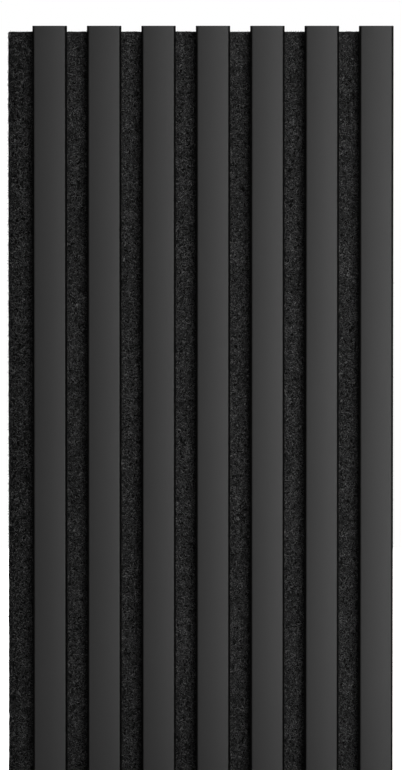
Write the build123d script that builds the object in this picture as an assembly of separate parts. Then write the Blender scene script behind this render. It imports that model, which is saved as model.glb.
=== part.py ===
from build123d import *
import os

# A slatted acoustic panel that is fixed to a wall. Slats of black fibreboard, each with a thin
# decorative layer on its crowned front, are stapled from behind to a board of pressed felt.
# Millimetres. The origin is the centre of the felt's back face, +Z runs up along the slats,
# +Y points to the wall and the front faces -Y.

# Slats
slat_count = 7
slat_length = 600.0
slat_width = 26.7
slat_thickness = 12.0
slat_gap = 15.6
edge_bevel = 1.7
edge_ease = 1.2
face_thickness = 0.5
face_crown = 0.45

# Felt board. Its left margin is left bare, so that the slats of the next panel keep their
# distance, and its right edge is flush with the last slat.
felt_thickness = 9.0
felt_margin = 19.5
felt_end_setback = 3.8

# Staples, shot from behind in rows across the panel
staple_rows = 5
staple_end_distance = 46.0
staple_crown = 12.8
staple_leg = 16.0
staple_point = 0.8
staple_sink = 0.3
wire_width = 0.95
wire_thickness = 0.65
wire_clearance = 0.05

# Worked out from the sizes above
slat_pitch = slat_width + slat_gap
panel_width = felt_margin + slat_count * slat_width + (slat_count - 1) * slat_gap
first_slat_x = -panel_width / 2 + felt_margin + slat_width / 2
felt_length = slat_length - 2 * felt_end_setback
front_y = -felt_thickness - slat_thickness
face_edge_y = front_y + face_crown
face_half_width = slat_width / 2 - edge_bevel
crown_radius = (face_half_width**2 + face_crown**2) / (2 * face_crown)
crown_seat_y = -staple_sink - wire_thickness
leg_tip_y = -staple_sink - staple_leg
leg_x = staple_crown / 2 - wire_thickness / 2
slit_size = wire_thickness + 2 * wire_clearance
slit_height = wire_width + 2 * wire_clearance
cutter_overrun = 1.0

slat_places = [first_slat_x + slat_pitch * i for i in range(slat_count)]
row_step = (felt_length - 2 * staple_end_distance) / (staple_rows - 1)
row_places = [-felt_length / 2 + staple_end_distance + row_step * i for i in range(staple_rows)]


def slat_blank():
    """A slat with its decorative layer on, centred on x = 0. The section is flat at the back and
    has a crowned front, which is rounded over into a bevel along both edges."""
    half_width = slat_width / 2
    shoulder_y = face_edge_y + edge_bevel
    sides = Polyline(
        (-face_half_width, face_edge_y),
        (-half_width, shoulder_y),
        (-half_width, -felt_thickness),
        (half_width, -felt_thickness),
        (half_width, shoulder_y),
        (face_half_width, face_edge_y),
    )
    crown = ThreePointArc((face_half_width, face_edge_y), (0, front_y), (-face_half_width, face_edge_y))
    section = make_face(sides + crown)
    crown_ends = section.vertices().group_by(Axis.Y)[0]
    return extrude(fillet(crown_ends, edge_ease), slat_length / 2, both=True)


def crowned_bed():
    """The round bed that the decorative layer is pressed on, about the same axis as the crown."""
    bed = Cylinder(crown_radius - face_thickness, slat_length + 2 * cutter_overrun)
    return Pos(0, front_y + crown_radius) * bed


def leg_pockets():
    """The two slits in a slat's back that one staple's legs fill."""
    depth = -felt_thickness - leg_tip_y + wire_clearance
    slit = Box(slit_size, depth, slit_height, align=(Align.CENTER, Align.MAX, Align.CENTER))
    return [Pos(x, -felt_thickness) * slit for x in (-leg_x, leg_x)]


def slat_core():
    """The fibreboard: the blank up to the crowned bed, with a pair of pockets in each row."""
    core = slat_blank() & crowned_bed()
    return core - [Pos(0, 0, z) * slit for z in row_places for slit in leg_pockets()]


def slat_face():
    """The decorative layer: what lies in front of the bed, with the bevels run out through it."""
    return slat_blank() - crowned_bed()


def staple():
    """One staple with square inner corners, rounded outer corners and chisel points."""
    outer_x = staple_crown / 2
    inner_x = outer_x - wire_thickness
    point_start_y = leg_tip_y + staple_point
    right_half = [
        (outer_x, -staple_sink),
        (outer_x, point_start_y),
        (leg_x, leg_tip_y),
        (inner_x, point_start_y),
        (inner_x, crown_seat_y),
    ]
    left_half = [(-x, y) for x, y in reversed(right_half)]
    outline = make_face(Polyline(*right_half, *left_half, close=True))
    wire = extrude(outline, wire_width / 2, both=True)
    bends = wire.edges().filter_by(Axis.Z).group_by(Axis.Y)[-1]
    return fillet(bends, wire_thickness)


def staple_cut():
    """What one staple takes out of the felt: a groove for its crown and a slit for each leg."""
    from_back = (Align.CENTER, Align.MAX, Align.CENTER)
    crown_groove = Box(staple_crown + 2 * wire_clearance, -crown_seat_y, slit_height, align=from_back)
    slit = Box(slit_size, felt_thickness, slit_height, align=from_back)
    return [crown_groove] + [Pos(x) * slit for x in (-leg_x, leg_x)]


def staple_places():
    """The middle of each staple's crown, slat by slat and row by row."""
    return [Pos(x, 0, z) for x in slat_places for z in row_places]


def felt_backing():
    """The felt board, a little shorter than the slats at both ends, cut for the staples."""
    from_back = (Align.CENTER, Align.MAX, Align.CENTER)
    board = Box(panel_width, felt_thickness, felt_length, align=from_back)
    return board - [place * cut for place in staple_places() for cut in staple_cut()]


os.makedirs("parts", exist_ok=True)

export_step(felt_backing(), "parts/felt_backing.step")

core = slat_core()
face = slat_face()
for number, x in enumerate(slat_places, start=1):
    export_step(Pos(x) * core, f"parts/slat_core_{number}.step")
    export_step(Pos(x) * face, f"parts/slat_face_{number}.step")

one_staple = staple()
export_step(Compound(children=[place * one_staple for place in staple_places()]), "parts/staples.step")
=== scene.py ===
import math
import random

import bmesh
import bpy
from mathutils import Matrix, Vector, noise


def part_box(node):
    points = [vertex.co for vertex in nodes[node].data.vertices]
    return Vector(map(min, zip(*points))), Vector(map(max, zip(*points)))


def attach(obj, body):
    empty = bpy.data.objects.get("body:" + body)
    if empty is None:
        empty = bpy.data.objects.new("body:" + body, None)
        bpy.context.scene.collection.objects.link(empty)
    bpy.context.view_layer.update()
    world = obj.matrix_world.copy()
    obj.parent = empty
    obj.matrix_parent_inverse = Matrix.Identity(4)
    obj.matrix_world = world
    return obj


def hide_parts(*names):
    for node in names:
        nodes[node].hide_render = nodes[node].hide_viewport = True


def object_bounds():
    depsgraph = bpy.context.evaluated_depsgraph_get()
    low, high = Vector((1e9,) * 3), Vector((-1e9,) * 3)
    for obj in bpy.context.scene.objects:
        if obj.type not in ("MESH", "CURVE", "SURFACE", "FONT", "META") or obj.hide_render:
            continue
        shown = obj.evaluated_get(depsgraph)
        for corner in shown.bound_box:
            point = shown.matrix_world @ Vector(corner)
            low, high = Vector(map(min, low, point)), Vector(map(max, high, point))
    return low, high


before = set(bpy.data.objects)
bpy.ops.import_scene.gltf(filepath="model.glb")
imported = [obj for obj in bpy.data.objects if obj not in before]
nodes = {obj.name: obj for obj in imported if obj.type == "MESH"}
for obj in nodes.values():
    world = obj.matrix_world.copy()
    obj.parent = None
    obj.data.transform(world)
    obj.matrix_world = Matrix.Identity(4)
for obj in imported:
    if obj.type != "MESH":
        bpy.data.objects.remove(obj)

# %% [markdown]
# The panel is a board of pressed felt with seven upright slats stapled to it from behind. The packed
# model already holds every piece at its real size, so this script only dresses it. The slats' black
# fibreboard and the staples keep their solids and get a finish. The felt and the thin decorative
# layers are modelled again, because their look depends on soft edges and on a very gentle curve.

cad_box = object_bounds()
slat_count = sum(name.startswith("slat_core_") for name in nodes)
panel_low, panel_high = cad_box
print("slats", slat_count, "box", [round(v * 1000, 1) for v in panel_high - panel_low], "mm")

MM = 0.001


# %% [markdown]
# Colours are written as on a paint card, in sRGB hex, and a shader wants them linear. One function
# turns them. Another adds a shader node with its settings and its links, so that each material below
# reads from top to bottom like a recipe. The same could be done by hand in the shader editor, but a
# script can be read again, and changed in one place.

# %% Helpers for materials
def linear(hex_colour):
    """An sRGB hex colour such as "#3a3b3d" as a linear red, green, blue and alpha."""
    shares = [int(hex_colour[i : i + 2], 16) / 255 for i in (1, 3, 5)]
    return [s / 12.92 if s <= 0.04045 else ((s + 0.055) / 1.055) ** 2.4 for s in shares] + [1.0]


def add(tree, kind, values=None, **settings):
    """A new shader node. Each value is a number, a colour or another node's output socket."""
    made = tree.nodes.new(kind)
    for name, setting in settings.items():
        setattr(made, name, setting)
    for name, value in (values or {}).items():
        if isinstance(value, bpy.types.NodeSocket):
            tree.links.new(value, made.inputs[name])
        else:
            made.inputs[name].default_value = value
    return made


def empty_material(name):
    """A material with nothing in it yet, and its node tree."""
    material = bpy.data.materials.new(name)
    material.use_nodes = True
    material.node_tree.nodes.clear()
    return material, material.node_tree


print("anthracite #262626 is", [round(share, 4) for share in linear("#262626")[:3]], "linear")


# %% [markdown]
# Felt for such boards is needled from recycled polyester: black, dark grey and pale grey fibres are
# carded together, punched with barbed needles and pressed hot to a stiff board. From a step away that
# is a melange, a dark grey with paler flecks about a millimetre wide and no gloss at all. An image of
# felt would repeat, so the flecks are noise. The fibres are thin lines, drawn where a second noise
# passes through its middle value, which gives curls that never repeat either. Real fibres are 0.04 mm
# thick, too fine to show, so the lines are drawn about 0.15 mm wide.

# %% Flecks and curled fibres
FLECK_MM = 1.7
FLECK_STRETCH = (1.0, 1.0, 0.75)
CURL_MM = 3.2
CURL_CORE, CURL_RIM = 0.004, 0.022


def felt_flecks(tree, place):
    """A pattern from 0 in the dark flecks of the felt to 1 in its pale ones."""
    drawn = add(tree, "ShaderNodeMapping", {"Vector": place, "Scale": FLECK_STRETCH}).outputs[0]
    flecks = add(tree, "ShaderNodeTexNoise", {"Vector": drawn, "Scale": 1 / (FLECK_MM * MM),
        "Detail": 3.0, "Roughness": 0.65, "Distortion": 0.4}).outputs[0]
    return add(tree, "ShaderNodeMapRange", {"Value": flecks, "From Min": 0.34, "From Max": 0.66},
        interpolation_type="SMOOTHSTEP").outputs[0]


def felt_curls(tree, place):
    """A pattern that is 1 along the middle of each fibre and 0 away from it."""
    curls = add(tree, "ShaderNodeTexNoise", {"Vector": place, "Scale": 1 / (CURL_MM * MM),
        "Detail": 1.5, "Roughness": 0.5, "Distortion": 1.6}).outputs[0]
    off_line = add(tree, "ShaderNodeMath", {0: curls, 1: 0.5}, operation="SUBTRACT").outputs[0]
    off_line = add(tree, "ShaderNodeMath", {0: off_line}, operation="ABSOLUTE").outputs[0]
    return add(tree, "ShaderNodeMapRange", {"Value": off_line, "From Min": CURL_CORE,
        "From Max": CURL_RIM, "To Min": 1.0, "To Max": 0.0}).outputs[0]


print("felt flecks", FLECK_MM, "mm, curls", CURL_MM, "mm")


# %% [markdown]
# On the front, the bare margin at the left is darkened with painted shade: it is darker than the felt
# between the slats, and most so at its edge. A second material would show a seam, so the painted shade
# runs up smoothly across the margin, and a second ramp through the board keeps it off the back. The
# single fibres that are drawn on top lose much less of their tone to it than the mass below them.

# %% Painted shade on the bare margin
PAINTED_SHADE_AT_EDGE = 0.36
PAINTED_SHADE_ON_FIBRES = 0.2
MARGIN_DEPTH = 2 * MM
MARGIN_GONE = 6 * MM
felt_low, felt_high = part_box("felt_backing")
margin_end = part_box("slat_core_1")[0].x


def painted_margin_shade(tree, place):
    """Painted shade: the share of its tone that the felt keeps, from a set share at the margin's edge
    to 1.
    """
    where = add(tree, "ShaderNodeSeparateXYZ", {"Vector": place})
    margin = add(tree, "ShaderNodeMapRange", {"Value": where.outputs["X"], "From Min": felt_low.x,
        "From Max": margin_end, "To Min": PAINTED_SHADE_AT_EDGE, "To Max": 1.0}).outputs[0]
    behind = add(tree, "ShaderNodeMapRange", {"Value": where.outputs["Y"],
        "From Min": felt_low.y + MARGIN_DEPTH, "From Max": felt_low.y + MARGIN_GONE}).outputs[0]
    return add(tree, "ShaderNodeMath", {0: margin, 1: behind}, operation="MAXIMUM").outputs[0]


print("bare margin", round((margin_end - felt_low.x) / MM, 1), "mm")


# %% [markdown]
# The patterns come together in one material. Felt scatters light between its fibres and has no gloss,
# so it is fully rough with hardly any reflection, and a trace of sheen stands for the fine fuzz that
# is too small to model. Broad clouds make it a little uneven, as carded fibre always is.

# %% Pressed polyester felt
CLOUD_MM = 22.0
CLOUD_DARK, CLOUD_PALE = 0.84, 1.16
FELT_RELIEF = 0.25 * MM
felt_dark = linear("#080808")
felt_grey = linear("#252525")
felt_pale = linear("#5a5a5a")


def felt_material():
    material, tree = empty_material("pressed_polyester_felt")
    place = add(tree, "ShaderNodeTexCoord").outputs["Object"]
    flecks, curls = felt_flecks(tree, place), felt_curls(tree, place)
    # The painted shade on the bare margin, which darkens the mass below fully and the fibres less.
    share = painted_margin_shade(tree, place)
    mass = add(tree, "ShaderNodeMix", {0: flecks, "A": felt_dark, "B": felt_grey}, data_type="RGBA")
    mass = add(tree, "ShaderNodeVectorMath", {0: mass.outputs["Result"], 1: share},
        operation="MULTIPLY").outputs[0]
    curled = add(tree, "ShaderNodeMix", {0: curls, "A": mass, "B": felt_pale}, data_type="RGBA")
    clouds = add(tree, "ShaderNodeTexNoise", {"Vector": place, "Scale": 1 / (CLOUD_MM * MM),
        "Detail": 2.0}).outputs[0]
    cloud = add(tree, "ShaderNodeMapRange", {"Value": clouds, "From Min": 0.3, "From Max": 0.7,
        "To Min": CLOUD_DARK, "To Max": CLOUD_PALE}).outputs[0]
    # The fibres keep more of their tone under the painted shade than the mass does.
    fibre_painted_shade = add(tree, "ShaderNodeMath", {0: share, 1: PAINTED_SHADE_ON_FIBRES}, operation="POWER")
    clouds_and_painted_shade = add(tree, "ShaderNodeMath", {0: cloud, 1: fibre_painted_shade.outputs[0]}, operation="MULTIPLY")
    colour = add(tree, "ShaderNodeVectorMath", {0: curled.outputs["Result"], 1: clouds_and_painted_shade.outputs[0]},
        operation="MULTIPLY").outputs[0]
    height = add(tree, "ShaderNodeMath", {0: flecks, 1: curls}, operation="ADD").outputs[0]
    bump = add(tree, "ShaderNodeBump", {"Height": height, "Strength": 0.7, "Distance": FELT_RELIEF})
    shader = add(tree, "ShaderNodeBsdfPrincipled", {"Base Color": colour, "Roughness": 1.0,
        "Specular IOR Level": 0.02, "Sheen Weight": 0.04, "Sheen Roughness": 0.5,
        "Normal": bump.outputs[0]})
    add(tree, "ShaderNodeOutputMaterial", {"Surface": shader.outputs[0]})
    return material


felt = felt_material()
print("felt clouds", CLOUD_MM, "mm, relief", FELT_RELIEF / MM, "mm")


# %% [markdown]
# A few fibres stand clear of the board as fuzz. They are the same polyester. A hair shader would take
# longer and show no more at this size, so a plain matt one whose tone drifts a little is enough.

# %% Loose fibres
FIBRE_DRIFT_MM = 4.0


def fibre_material(name, low, high):
    """Polyester fibre whose tone drifts between two greys."""
    material, tree = empty_material(name)
    place = add(tree, "ShaderNodeTexCoord").outputs["Object"]
    drift = add(tree, "ShaderNodeTexNoise", {"Vector": place, "Scale": 1 / (FIBRE_DRIFT_MM * MM),
        "Detail": 1.0}).outputs[0]
    share = add(tree, "ShaderNodeMapRange", {"Value": drift, "From Min": 0.35, "From Max": 0.65})
    colour = add(tree, "ShaderNodeMix", {0: share.outputs[0], "A": linear(low), "B": linear(high)},
        data_type="RGBA").outputs["Result"]
    shader = add(tree, "ShaderNodeBsdfPrincipled", {"Base Color": colour, "Roughness": 0.8,
        "Specular IOR Level": 0.1})
    add(tree, "ShaderNodeOutputMaterial", {"Surface": shader.outputs[0]})
    return material


pale_fibre = fibre_material("pale_polyester_fibre", "#343434", "#747474")
dark_fibre = fibre_material("black_polyester_fibre", "#070707", "#181818")
print("fibre materials", pale_fibre.name, dark_fibre.name)


# %% [markdown]
# The slats are sawn from fibreboard that is dyed black right through and has a melamine layer pressed
# on its front. A cutter runs the bevels off the long edges, so they show the raw board: almost black
# and dusty matt, with a nap of short fibres laid along the cut. A flat black would look like paint,
# so noise that is drawn out along the slat gives the nap. A few bundles of fibre took less dye and
# show as paler specks. Nap and specks are drawn larger than they are, so that they can be seen.

# %% Black fibreboard
BOARD_FIBRE_MM = 0.6
BOARD_SPECK_MM = 0.55
BOARD_STRETCH = (1.0, 1.0, 0.2)
BOARD_RELIEF = 0.08 * MM
board_black = linear("#060606")
board_grey = linear("#131312")
board_speck = linear("#252422")


def fibreboard_material():
    material, tree = empty_material("black_fibreboard")
    place = add(tree, "ShaderNodeTexCoord").outputs["Object"]
    along_cut = add(tree, "ShaderNodeMapping", {"Vector": place, "Scale": BOARD_STRETCH}).outputs[0]
    nap = add(tree, "ShaderNodeTexNoise", {"Vector": along_cut, "Scale": 1 / (BOARD_FIBRE_MM * MM),
        "Detail": 4.0, "Roughness": 0.7}).outputs[0]
    share = add(tree, "ShaderNodeMapRange", {"Value": nap, "From Min": 0.45, "From Max": 0.75})
    dyed = add(tree, "ShaderNodeMix", {0: share.outputs[0], "A": board_black, "B": board_grey},
        data_type="RGBA").outputs["Result"]
    bundles = add(tree, "ShaderNodeTexNoise", {"Vector": along_cut, "Scale": 1 / (BOARD_SPECK_MM * MM),
        "Detail": 2.0, "Distortion": 0.8}).outputs[0]
    speck = add(tree, "ShaderNodeMapRange", {"Value": bundles, "From Min": 0.6, "From Max": 0.72})
    colour = add(tree, "ShaderNodeMix", {0: speck.outputs[0], "A": dyed, "B": board_speck},
        data_type="RGBA").outputs["Result"]
    bump = add(tree, "ShaderNodeBump", {"Height": nap, "Strength": 0.5, "Distance": BOARD_RELIEF})
    shader = add(tree, "ShaderNodeBsdfPrincipled", {"Base Color": colour, "Roughness": 0.95,
        "Specular IOR Level": 0.01, "Normal": bump.outputs[0]})
    add(tree, "ShaderNodeOutputMaterial", {"Surface": shader.outputs[0]})
    return material


fibreboard = fibreboard_material()
print("board nap", BOARD_FIBRE_MM, "mm, drawn out to", BOARD_FIBRE_MM / BOARD_STRETCH[2], "mm")


# %% [markdown]
# The front layer is a melamine laminate in plain anthracite, pressed between satin steel plates. The
# plates leave a very fine pebble in the surface, so lamps show as a wide soft sheen and not as a
# mirror image, and the crown of the slat turns that sheen into a slow change from dark to light. The
# pebble is bump and not shape, drawn half a millimetre wide, which is coarser than the real one. The
# gloss started from a typical satin laminate and was then matched to the photograph, which asks for a
# weaker reflection.

# %% Satin anthracite laminate
PEBBLE_MM = 0.5
PEBBLE_RELIEF = 0.07 * MM
PRESS_DRIFT_MM = 60.0
anthracite = linear("#262626")
anthracite_deep = linear("#232323")


def laminate_material():
    material, tree = empty_material("satin_melamine_laminate")
    place = add(tree, "ShaderNodeTexCoord").outputs["Object"]
    pebble = add(tree, "ShaderNodeTexNoise", {"Vector": place, "Scale": 1 / (PEBBLE_MM * MM),
        "Detail": 2.0}).outputs[0]
    drift = add(tree, "ShaderNodeTexNoise", {"Vector": place, "Scale": 1 / (PRESS_DRIFT_MM * MM),
        "Detail": 2.0}).outputs[0]
    colour = add(tree, "ShaderNodeMix", {0: drift, "A": anthracite_deep, "B": anthracite},
        data_type="RGBA").outputs["Result"]
    gloss = add(tree, "ShaderNodeMapRange", {"Value": pebble, "From Min": 0.3, "From Max": 0.7,
        "To Min": 0.33, "To Max": 0.45}).outputs[0]
    bump = add(tree, "ShaderNodeBump", {"Height": pebble, "Strength": 0.8, "Distance": PEBBLE_RELIEF})
    shader = add(tree, "ShaderNodeBsdfPrincipled", {"Base Color": colour, "Roughness": gloss,
        "Specular IOR Level": 0.105, "Normal": bump.outputs[0]})
    add(tree, "ShaderNodeOutputMaterial", {"Surface": shader.outputs[0]})
    return material


laminate = laminate_material()
print("laminate pebble", PEBBLE_MM, "mm")


# %% [markdown]
# The staples are bent from galvanised wire. Zinc that has run through a die is bright but not
# polished, with fine lines along the wire. They are noise that is drawn out along the crown, the only
# part of a staple that can be seen, and they change the gloss more than the colour.

# %% Galvanised wire
WIRE_LINE_MM = 0.15
WIRE_STRETCH = (0.1, 1.0, 1.0)


def wire_material():
    material, tree = empty_material("galvanised_wire")
    place = add(tree, "ShaderNodeTexCoord").outputs["Object"]
    along_wire = add(tree, "ShaderNodeMapping", {"Vector": place, "Scale": WIRE_STRETCH}).outputs[0]
    lines = add(tree, "ShaderNodeTexNoise", {"Vector": along_wire, "Scale": 1 / (WIRE_LINE_MM * MM),
        "Detail": 2.0}).outputs[0]
    colour = add(tree, "ShaderNodeMix", {0: lines, "A": linear("#808385"), "B": linear("#b9bbbc")},
        data_type="RGBA").outputs["Result"]
    gloss = add(tree, "ShaderNodeMapRange", {"Value": lines, "To Min": 0.28, "To Max": 0.5}).outputs[0]
    shader = add(tree, "ShaderNodeBsdfPrincipled", {"Base Color": colour, "Metallic": 1.0,
        "Roughness": gloss})
    add(tree, "ShaderNodeOutputMaterial", {"Surface": shader.outputs[0]})
    return material


wire = wire_material()
print("wire lines", WIRE_LINE_MM, "mm")


# %% [markdown]
# The fibreboard slats and the staples already have their true shape, with sharp sawn arrises, so they
# only get their finish. To model them again would only risk a difference from the solids.

# %% Finish on the pieces that stay
def dress(node, material):
    """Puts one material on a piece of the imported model."""
    mesh = nodes[node].data
    mesh.materials.clear()
    mesh.materials.append(material)


for number in range(1, slat_count + 1):
    dress(f"slat_core_{number}", fibreboard)
dress("staples", wire)
print("dressed", slat_count, "slats and the staples")


# %% [markdown]
# Each decorative layer is half a millimetre thick and very slightly crowned: the middle of the slat
# stands 0.45 mm proud of its edges. A flat strip would catch the light as one even patch. The strip
# starts as a grid, is pulled into an arc, and is then extruded back on to the round bed of the slat.
# There it is a little wider, because the bevel cuts through it at 45 degrees. The apex of the crown
# is 12 mm in front of the felt.

# %% A crowned strip
FACE_CROWN = 0.45 * MM
FACE_THICKNESS = 0.5 * MM
EDGE_BEVEL = 1.7 * MM
SLAT_THICKNESS = 12.0 * MM
ACROSS = 28
UPRIGHT = Matrix.Rotation(math.radians(90), 4, "X")
face_front = felt_low.y - SLAT_THICKNESS


def crowned_strip(middle, half, radius, low_z, high_z):
    """A strip with a crowned front of that half width, and the vertices of its back."""
    axis_y = face_front + radius

    def arc_y(x, r):
        return axis_y - math.sqrt(r * r - (x - middle) ** 2)

    strip = bmesh.new()
    bmesh.ops.create_grid(strip, x_segments=ACROSS, y_segments=1, size=0.5, matrix=UPRIGHT)
    bmesh.ops.scale(strip, vec=(2 * half, 1.0, high_z - low_z), verts=strip.verts)
    bmesh.ops.translate(strip, vec=(middle, 0.0, (low_z + high_z) / 2), verts=strip.verts)
    for vert in strip.verts:
        vert.co.y = arc_y(vert.co.x, radius)
    pulled = bmesh.ops.extrude_face_region(strip, geom=strip.faces[:])
    back = [g for g in pulled["geom"] if isinstance(g, bmesh.types.BMVert)]
    spread = (half + FACE_THICKNESS) / half
    for vert in back:
        vert.co.x = middle + (vert.co.x - middle) * spread
        vert.co.y = arc_y(vert.co.x, radius - FACE_THICKNESS)
    bmesh.ops.recalc_face_normals(strip, faces=strip.faces)
    return strip, set(back)


print("front at", round(face_front / MM, 2), "mm, crown in", ACROSS, "steps")


# %% [markdown]
# A new mesh still has to become an object of the panel. It is shaded smooth, apart from edges that
# turn by more than a given angle, and it rides on the panel's one body, as the real piece does.

# %% From a bmesh to a piece
def finish_piece(piece_mesh, name, smooth_below):
    """Turns a bmesh into a shaded object that rides on the panel. The angle is in degrees."""
    mesh = bpy.data.meshes.new(name)
    piece_mesh.to_mesh(mesh)
    piece_mesh.free()
    for face in mesh.polygons:
        face.use_smooth = True
    mesh.set_sharp_from_angle(angle=math.radians(smooth_below))
    piece = bpy.data.objects.new(name, mesh)
    bpy.context.scene.collection.objects.link(piece)
    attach(piece, "root")
    return piece


# %% [markdown]
# Along both sides the front is rounded over into the bevel with a radius of 1.2 mm, and at the ends
# it is only broken by 0.15 mm, as a sanding block would do it. A rounding catches the light as a fine
# line, which a sharp corner can't. Faces that look to the front are laminate, and the bevel, at 45
# degrees, shows the board.

# %% The decorative layers
EDGE_EASE, EASE_SEGMENTS = 1.2 * MM, 5
END_ROUND, END_SEGMENTS = 0.15 * MM, 2
BEVEL_ANGLE = math.radians(45)
CORNER_ANGLE = 0.5
LONG_EDGE = 0.1
LAMINATE_FACING = 0.74
LAYER_SMOOTH = 13
# Corners turn by more than CORNER_ANGLE, in radians, and edges longer than LONG_EDGE, in metres, run
# along the slat. A normal's share to the front is 0.71 on the bevel, and more than LAMINATE_FACING on
# most of the rounding. Edges that turn by less than LAYER_SMOOTH degrees are shaded smooth.


def round_over(strip, behind, runs_along, offset, segments):
    """Bevels the corners of a strip's front that run along the slat, or those across its ends."""
    rim = [e for e in strip.edges if e.calc_face_angle() > CORNER_ANGLE and not behind & set(e.verts)
        and (abs(e.verts[0].co.z - e.verts[1].co.z) > LONG_EDGE) == runs_along]
    bmesh.ops.bevel(strip, geom=rim, offset=offset, offset_type="OFFSET", segments=segments,
        profile=0.5, affect="EDGES", material=-1, clamp_overlap=True)


def slat_layer(number):
    core_low, core_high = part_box(f"slat_core_{number}")
    half = (core_high.x - core_low.x) / 2 - EDGE_BEVEL
    radius = (half**2 + FACE_CROWN**2) / (2 * FACE_CROWN)
    middle = (core_low.x + core_high.x) / 2
    strip, behind = crowned_strip(middle, half, radius, core_low.z, core_high.z)
    # A round of a given radius starts this far from the corner that it takes off.
    ease_start = EDGE_EASE * math.tan((BEVEL_ANGLE - math.asin(half / radius)) / 2)
    round_over(strip, behind, True, ease_start, EASE_SEGMENTS)
    round_over(strip, behind, False, END_ROUND, END_SEGMENTS)
    for face in strip.faces:
        face.material_index = 0 if face.normal.y < -LAMINATE_FACING else 1
    piece = finish_piece(strip, f"slat_layer_{number}", LAYER_SMOOTH)
    piece.data.materials.append(laminate)
    piece.data.materials.append(fibreboard)
    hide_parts(f"slat_face_{number}")
    return piece


layers = [slat_layer(number) for number in range(1, slat_count + 1)]
print("layer faces", len(layers[0].data.polygons))


# %% [markdown]
# Pressed felt gives a little. It swells slightly where no slat holds it down, and on the back each
# staple has drawn it into a dimple. Both could be sculpted by hand, but two small formulas do it
# evenly at every slat and staple. The slats' places come from their boxes, and the staples' places
# are found by walking from vertex to vertex through each loose island of their mesh.

# %% Where slats and staples hold the felt
SWELL = 0.3 * MM
SWELL_RUN = 2.5 * MM
DIMPLE = 0.42 * MM
DIMPLE_ACROSS = 8.5 * MM
DIMPLE_UP = 3.2 * MM
SAME_PLACE = 1e-6
# The reach, across and up together, past which a dimple is too shallow to count.
DIMPLE_END = 6
slat_boxes = [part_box(f"slat_core_{number}") for number in range(1, slat_count + 1)]
slat_spans = [(low.x, high.x) for low, high in slat_boxes]


def island_centres(mesh):
    """The middle of each loose island of a mesh, here one for each staple."""
    copy = bmesh.new()
    copy.from_mesh(mesh)
    bmesh.ops.remove_doubles(copy, verts=copy.verts, dist=SAME_PLACE)
    left, centres = set(copy.verts), []
    while left:
        island, stack = [], [left.pop()]
        while stack:
            vert = stack.pop()
            island.append(vert.co.copy())
            for edge in vert.link_edges:
                other = edge.other_vert(vert)
                if other in left:
                    left.discard(other)
                    stack.append(other)
        low = [min(p[i] for p in island) for i in range(3)]
        high = [max(p[i] for p in island) for i in range(3)]
        centres.append((Vector(low) + Vector(high)) / 2)
    copy.free()
    return sorted(centres, key=lambda c: (round(c.x, 4), round(c.z, 4)))


def gap_swell(x):
    """How far the felt stands out at x, between the slats that hold it down."""
    nearest = min(max(low - x, x - high) for low, high in slat_spans)
    return 0.0 if nearest <= 0 else SWELL * (1 - math.exp(-nearest / SWELL_RUN))


def dimple_depth(x, z):
    """How far a staple has drawn the back of the felt in at this place."""
    depth = 0.0
    for centre in staple_centres:
        across, up = (x - centre.x) / DIMPLE_ACROSS, (z - centre.z) / DIMPLE_UP
        reach = across**4 + up**2
        if reach < DIMPLE_END:
            depth = max(depth, DIMPLE * math.exp(-reach))
    return depth


staple_centres = island_centres(nodes["staples"].data)
print("staples", len(staple_centres))


# %% [markdown]
# The felt board starts as a block that is cut into cells of about two millimetres, so that it can be
# shaped. Its arrises are soft, and its knife-cut edges waver a little. A Bevel modifier would round
# the arrises, but it knows nothing of the waver, the swelling and the dimples, so every vertex is
# moved by all of them at once: first on to the rounding, and then out or in with its side.

# %% The felt board
CELL = 2.2 * MM
ARRIS = 0.9 * MM
ONE_SIDE = 0.999
FACING = 0.5
SWELL_CHANGE, SWELL_WAVE = 0.5, 9 * MM
EDGE_WAVER, EDGE_WAVE = 0.3 * MM, 5 * MM
EDGE_INSET = 0.8
BACK_WAVER, BACK_WAVE = 0.05 * MM, 12 * MM
WAVER_FALL, WAVER_STEP, WAVER_OCTAVES = 0.6, 2.0, 3
FELT_SMOOTH = 180
# A point lies on one flat side when its way out of the board is a single axis, to within ONE_SIDE,
# and it belongs to each side that it faces by more than FACING. The edges lie back by EDGE_INSET of
# their waver, so that they hardly stand out past the solid.


def edges_along(mesh, axis):
    """The edges of a block that run along one axis."""
    return [e for e in mesh.edges if abs((e.verts[0].co - e.verts[1].co)[axis]) > SAME_PLACE]


def waver(point, size):
    """A smooth number from about -1 to 1 that changes over that size."""
    return noise.fractal(point / size, WAVER_FALL, WAVER_STEP, WAVER_OCTAVES)


def felt_block():
    """The felt's box, cut into cells on all sides."""
    size = felt_high - felt_low
    block = bmesh.new()
    bmesh.ops.create_cube(block, size=1.0)
    bmesh.ops.scale(block, vec=size, verts=block.verts)
    bmesh.ops.translate(block, vec=(felt_low + felt_high) / 2, verts=block.verts)
    for axis in (0, 2, 1):
        cuts = round(size[axis] / CELL) - 1
        bmesh.ops.subdivide_edges(block, edges=edges_along(block, axis), cuts=cuts, use_grid_fill=True)
    return block


def soft_place(at):
    """Where a point of the block's surface comes to lie on the real felt."""
    core = Vector(min(max(at[i], felt_low[i] + ARRIS), felt_high[i] - ARRIS) for i in range(3))
    out = (at - core).normalized()
    if max(abs(c) for c in out) < ONE_SIDE:
        at = core + out * ARRIS
    if out.y < -FACING:
        at.y -= gap_swell(at.x) * (1 + SWELL_CHANGE * waver(at, SWELL_WAVE))
    if out.y > FACING:
        at.y -= dimple_depth(at.x, at.z) + BACK_WAVER * (1 + waver(at, BACK_WAVE))
    for axis in (0, 2):
        if abs(out[axis]) > FACING:
            at[axis] += math.copysign(1, out[axis]) * EDGE_WAVER * (waver(at, EDGE_WAVE) - EDGE_INSET)
    return at


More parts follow.
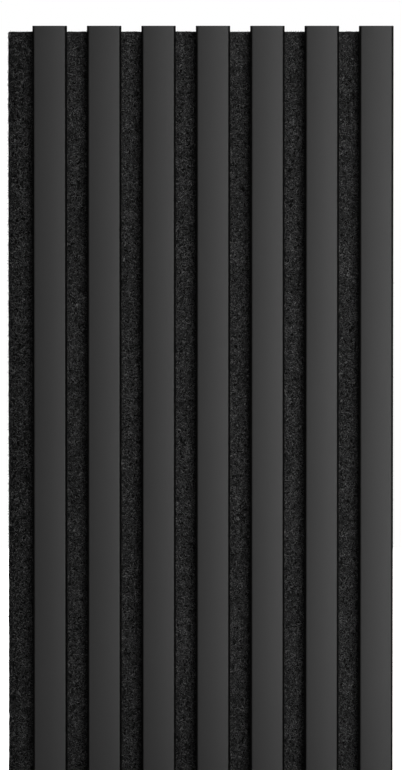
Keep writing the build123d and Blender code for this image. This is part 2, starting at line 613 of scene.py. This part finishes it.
def felt_board():
    block = felt_block()
    for vert in block.verts:
        vert.co = soft_place(vert.co.copy())
    piece = finish_piece(block, "felt_board", FELT_SMOOTH)
    piece.data.materials.append(felt)
    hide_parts("felt_backing")
    return piece


board = felt_board()
print("felt board faces", len(board.data.polygons))


# %% [markdown]
# The fuzz is made of a few thousand short fibres. Particle hair would be quicker to set up, but it
# doesn't reach an exported mesh, so each fibre here is a line of four points, which becomes a thin
# tube later. It starts and ends just under the surface and bows up between. The dice are seeded, so
# the same fibres fall each time.

# %% Fibres on the front and on the back
FIBRE_LENGTH = 2.0 * MM, 5.0 * MM
FIBRE_BEND = 0.9
FRONT_RISE, FRONT_DIP = (0.1 * MM, 0.4 * MM), 0.4
BACK_RISE, BACK_DIP = (0.05 * MM, 0.25 * MM), 1.0
SLAT_CLEARANCE = 0.6 * MM
NARROWEST = 2 * MM
END_CLEARANCE = MM
BACK_CLEARANCE = 3 * MM
dice = random.Random(7)


def open_places(count):
    """Random places on the felt between the slats, clear of their sides."""
    spans, left = [], felt_low.x
    for low, high in slat_spans:
        spans.append((left + SLAT_CLEARANCE, low - SLAT_CLEARANCE))
        left = high
    spans = [s for s in spans if s[1] - s[0] > NARROWEST]
    widths = [high - low for low, high in spans]
    for _ in range(count):
        low, high = dice.choices(spans, widths)[0]
        x = dice.uniform(low, high)
        yield low, high, x, dice.uniform(felt_low.z + END_CLEARANCE, felt_high.z - END_CLEARANCE)


def lying_fibre(low, high, x, z, rises, dip, surface_y):
    """A fibre about x and z that bows a little out of the surface and stays between low and high."""
    length, turn = dice.uniform(*FIBRE_LENGTH), dice.uniform(0, math.pi)
    bend, rise = dice.uniform(-FIBRE_BEND, FIBRE_BEND), dice.uniform(*rises)
    points = []
    # Each point's place along the fibre, and how far it is lifted.
    for step, lift in ((-0.5, -dip), (-0.17, 1.0), (0.17, 1.0), (0.5, -dip)):
        angle = turn + bend * step
        at_x = min(max(x + length * step * math.cos(angle), low), high)
        at_z = z + length * step * math.sin(angle)
        points.append((at_x, surface_y(at_x, at_z, rise * lift), at_z))
    return points


def above_front(x, z, lift):
    """The depth of a point that is lifted off the front of the felt."""
    return felt_low.y - gap_swell(x) - lift


def above_back(x, z, lift):
    """The same for the back."""
    return felt_high.y - dimple_depth(x, z) + lift


def front_fibre(low, high, x, z):
    return lying_fibre(low, high, x, z, FRONT_RISE, FRONT_DIP, above_front)


def back_fibre():
    x = dice.uniform(felt_low.x + BACK_CLEARANCE, felt_high.x - BACK_CLEARANCE)
    z = dice.uniform(felt_low.z + BACK_CLEARANCE, felt_high.z - BACK_CLEARANCE)
    return lying_fibre(felt_low.x, felt_high.x, x, z, BACK_RISE, BACK_DIP, above_back)


print("fibres", [round(length / MM, 1) for length in FIBRE_LENGTH], "mm long")


# %% [markdown]
# The cut edges are hairy, because the knife frees the ends of fibres. Each such end starts inside the
# board, leans a little to one side and stops less than a millimetre outside. The left edge stands
# free of any slat and shows most in the photograph, so it gets twice as many as each of the others.

# %% Fibres on the cut edges
EDGE_REACH = 0.2 * MM, 0.8 * MM
EDGE_DRIFT = 0.6 * MM
EDGE_SHARES = {"left": 2, "right": 1, "top": 1, "bottom": 1}


def edge_fibre():
    """A fibre that sticks out of one of the four cut edges."""
    reach, drift = dice.uniform(*EDGE_REACH), dice.uniform(-EDGE_DRIFT, EDGE_DRIFT)
    y = dice.uniform(felt_low.y + ARRIS, felt_high.y - ARRIS)
    side = dice.choices(list(EDGE_SHARES), list(EDGE_SHARES.values()))[0]
    out, run = (0, 2) if side in ("left", "right") else (2, 0)
    sign, edge = (-1, felt_low[out]) if side in ("left", "bottom") else (1, felt_high[out])
    start = dice.uniform(felt_low[run] + END_CLEARANCE, felt_high[run] - END_CLEARANCE)
    points = []
    # Each point's share of the reach. The first one is inside the board.
    for step in (-0.5, 0.2, 0.7, 1.0):
        along = drift * step * abs(step)
        point = Vector((0, y + 0.5 * along, 0))
        point[out] = edge + sign * reach * step
        point[run] = start + along
        points.append(point)
    return points


print("fibres at the edges reach out", [round(reach / MM, 1) for reach in EDGE_REACH], "mm")


# %% [markdown]
# All fibres of one colour become one mesh. The curves are only a means: each gets a thin round
# section, and the tubes that come out are kept, while the curves themselves are thrown away.

# %% Fuzz on the felt
FIBRE_RADIUS = 0.06 * MM
FUZZ_SMOOTH = 60


def fuzz(name, strands, material):
    """All strands as one mesh of thin tubes."""
    curve = bpy.data.curves.new(name, "CURVE")
    curve.dimensions = "3D"
    curve.bevel_depth = FIBRE_RADIUS
    curve.bevel_resolution = 0
    curve.use_fill_caps = True
    for points in strands:
        spline = curve.splines.new("POLY")
        spline.points.add(len(points) - 1)
        for point, place in zip(spline.points, points):
            point.co = (*place, 1.0)
    holder = bpy.data.objects.new(name + "_curve", curve)
    tubes = bmesh.new()
    made = bpy.data.meshes.new_from_object(holder)
    tubes.from_mesh(made)
    bpy.data.meshes.remove(made)
    bpy.data.objects.remove(holder)
    bpy.data.curves.remove(curve)
    piece = finish_piece(tubes, name, FUZZ_SMOOTH)
    piece.data.materials.append(material)
    return piece


def fuzz_strands(front, back, edge):
    """So many fibres for the front, the back and the cut edges."""
    strands = [front_fibre(*place) for place in open_places(front)]
    strands += [back_fibre() for _ in range(back)]
    return strands + [edge_fibre() for _ in range(edge)]


pale_fuzz = fuzz("felt_fuzz_pale", fuzz_strands(front=3200, back=1000, edge=600), pale_fibre)
dark_fuzz = fuzz("felt_fuzz_dark", fuzz_strands(front=2400, back=900, edge=600), dark_fibre)
print("fuzz faces", len(pale_fuzz.data.polygons), len(dark_fuzz.data.polygons))


# %% [markdown]
# The camera stands four metres away with a long lens, so that the slats stay almost parallel, and
# looks down by less than two degrees. It could be placed by eye, but three values read off the
# photograph give its place directly: the size of a pixel at the slats' fronts, the row of the slats'
# tops and the column of the panel's middle.

# %% Camera
PHOTO_WIDTH, PHOTO_HEIGHT = 402, 770
PIXEL = 0.7778 * MM
SLAT_TOP_ROW = 26.33
MIDDLE_COLUMN = 200.45
CAMERA_DISTANCE = 4.0
CAMERA_DIP = math.radians(1.85)
SENSOR = 36.0


def make_camera():
    lens = SENSOR * CAMERA_DISTANCE / (PHOTO_HEIGHT * PIXEL)
    aim = Vector(((PHOTO_WIDTH / 2 - MIDDLE_COLUMN) * PIXEL, face_front,
        panel_high.z - (PHOTO_HEIGHT / 2 - SLAT_TOP_ROW) * PIXEL))
    forward = Vector((0.0, math.cos(CAMERA_DIP), -math.sin(CAMERA_DIP)))
    camera = bpy.data.objects.new("camera", bpy.data.cameras.new("camera"))
    camera.data.sensor_width = SENSOR
    camera.data.lens = lens
    camera.location = aim - forward * CAMERA_DISTANCE
    camera.rotation_euler = forward.to_track_quat("-Z", "Y").to_euler()
    bpy.context.scene.collection.objects.link(camera)
    bpy.context.scene.camera = camera
    print("lens", round(lens, 1), "mm, camera at", [round(v, 3) for v in camera.location])


make_camera()


# %% [markdown]
# The photograph was lit by one wide softbox, in front and to the right: the shadow that each slat
# throws on the felt to its left starts at the slat and fades out within 10 mm, on slats that are
# 12 mm thick. So the box reaches from straight ahead to about 39 degrees to the right. Two lamps
# behind and one above keep the back, the sides and the ends readable, and don't reach the front.

# %% Lamps
BOX_DISTANCE = 5.0
BOX_FROM, BOX_TO = 0.01, 0.81
BOX_LOW, BOX_HIGH = -0.38, 0.20
# The box's left and right side are given as shares of its distance, its low and high side in metres.
box_place = ((BOX_FROM + BOX_TO) / 2 * BOX_DISTANCE, -BOX_DISTANCE, (BOX_LOW + BOX_HIGH) / 2)
box_size = ((BOX_TO - BOX_FROM) * BOX_DISTANCE, BOX_HIGH - BOX_LOW)
# Each lamp's place and size in metres, and its power in watts.
LAMPS = {
    "key": (box_place, box_size, 307.0),
    "back_left": ((-3.0, 3.0, 1.5), (2.0, 2.0), 190.0),
    "back_right": ((3.0, 3.0, 1.5), (2.0, 2.0), 190.0),
    "top": ((0.0, 0.6, 3.0), (2.0, 1.0), 50.0),
}
PANEL_MIDDLE = Vector((0, 0, 0))


def softbox(name, place, size, power):
    """A rectangular lamp that faces the panel's middle and isn't seen itself."""
    lamp = bpy.data.lights.new(name, "AREA")
    lamp.shape = "RECTANGLE"
    lamp.size, lamp.size_y = size
    lamp.energy = power
    holder = bpy.data.objects.new(name, lamp)
    holder.location = place
    holder.rotation_euler = (PANEL_MIDDLE - Vector(place)).to_track_quat("-Z", "Y").to_euler()
    holder.visible_camera = False
    bpy.context.scene.collection.objects.link(holder)


for name, (place, size, power) in LAMPS.items():
    softbox(name, place, size, power)
print("key light", [round(side, 2) for side in box_size], "m, lamps", len(LAMPS))


# %% [markdown]
# The photograph darkens evenly towards the left, on the felt as on the slats, while the shadows stay
# equally long. Moving the lamp closer would do the first, but change the shadows too. A graduated net
# does only the first: a fine mesh in front of the panel that holds back more and more of the lamp's
# It isn't part of the panel, and the camera is told to look through it.

# %% A graduated net
NET_GAP = 0.15
NET_HALF = 0.5
NET_MIDDLE = 0.21
NET_LEAN = math.radians(17)
NET_DARK_AT, NET_DARK = -0.25, 0.59
NET_CLEAR_AT = 0.165
# Across the net, in metres from the panel's middle, it passes NET_DARK of the light up to
# NET_DARK_AT and all of it from NET_CLEAR_AT on.


def flat_sheet(name, half, turn, place, material):
    """A flat square of that half width, turned and put in its place in its mesh."""
    sheet = bmesh.new()
    bmesh.ops.create_grid(sheet, x_segments=1, y_segments=1, size=half, matrix=turn)
    bmesh.ops.translate(sheet, vec=place, verts=sheet.verts)
    mesh = bpy.data.meshes.new(name)
    sheet.to_mesh(mesh)
    sheet.free()
    mesh.materials.append(material)
    holder = bpy.data.objects.new(name, mesh)
    bpy.context.scene.collection.objects.link(holder)
    return holder


def net_material():
    material, tree = empty_material("graduated_net")
    place = add(tree, "ShaderNodeTexCoord").outputs["Object"]
    across = add(tree, "ShaderNodeVectorMath", {0: place,
        1: (math.cos(NET_LEAN), 0.0, math.sin(NET_LEAN))}, operation="DOT_PRODUCT").outputs["Value"]
    passed = add(tree, "ShaderNodeMapRange", {"Value": across, "From Min": NET_DARK_AT,
        "From Max": NET_CLEAR_AT, "To Min": NET_DARK, "To Max": 1.0}).outputs[0]
    clear = add(tree, "ShaderNodeBsdfTransparent", {"Color": passed})
    add(tree, "ShaderNodeOutputMaterial", {"Surface": clear.outputs[0]})
    return material


net_place = (0, face_front - NET_GAP, NET_MIDDLE)
net = flat_sheet("graduated_net", NET_HALF, UPRIGHT, net_place, net_material())
net.visible_camera = False
print("net passes", NET_DARK, "to 1.0 of the light")


# %% [markdown]
# The background is plain white. It comes from the world and the floor as the camera sees them, and
# not from more light on the panel, which would grey the black edges. Mirror and glass rays see the
# same white, while the light that falls on the panel from all round stays very low.

# %% White surroundings
AMBIENT = 0.02
FLOOR_GLOW = 0.82
FLOOR_HALF = 3.0
FLOOR_GAP = 0.2 * MM
WHITE = (1, 1, 1, 1)


def seen_directly(tree):
    """1 for the rays of the camera, of reflections and of clear glass, and 0 for all others."""
    ray = add(tree, "ShaderNodeLightPath")
    seen = add(tree, "ShaderNodeMath", {0: ray.outputs["Is Camera Ray"],
        1: ray.outputs["Is Glossy Ray"]}, operation="MAXIMUM").outputs[0]
    return add(tree, "ShaderNodeMath", {0: seen, 1: ray.outputs["Is Transmission Ray"]},
        operation="MAXIMUM").outputs[0]


def make_world():
    world = bpy.data.worlds.new("white_surroundings")
    bpy.context.scene.world = world
    world.use_nodes = True
    tree = world.node_tree
    tree.nodes.clear()
    strength = add(tree, "ShaderNodeMapRange", {"Value": seen_directly(tree), "To Min": AMBIENT,
        "To Max": 1.0}).outputs[0]
    white = add(tree, "ShaderNodeBackground", {"Color": WHITE, "Strength": strength})
    add(tree, "ShaderNodeOutputWorld", {"Surface": white.outputs[0]})


def floor_material():
    material, tree = empty_material("white_floor")
    glow = add(tree, "ShaderNodeMath", {0: seen_directly(tree), 1: FLOOR_GLOW},
        operation="MULTIPLY").outputs[0]
    shader = add(tree, "ShaderNodeBsdfPrincipled", {"Base Color": linear("#e8e8e8"),
        "Roughness": 1.0, "Specular IOR Level": 0.0, "Emission Color": WHITE,
        "Emission Strength": glow})
    add(tree, "ShaderNodeOutputMaterial", {"Surface": shader.outputs[0]})
    return material


make_world()
floor_place = (0, 0, panel_low.z - FLOOR_GAP)
floor = flat_sheet("floor", FLOOR_HALF, Matrix.Identity(4), floor_place, floor_material())
bpy.context.scene.view_settings.view_transform = "Standard"
print("floor at", round(floor_place[2] / MM, 1), "mm")
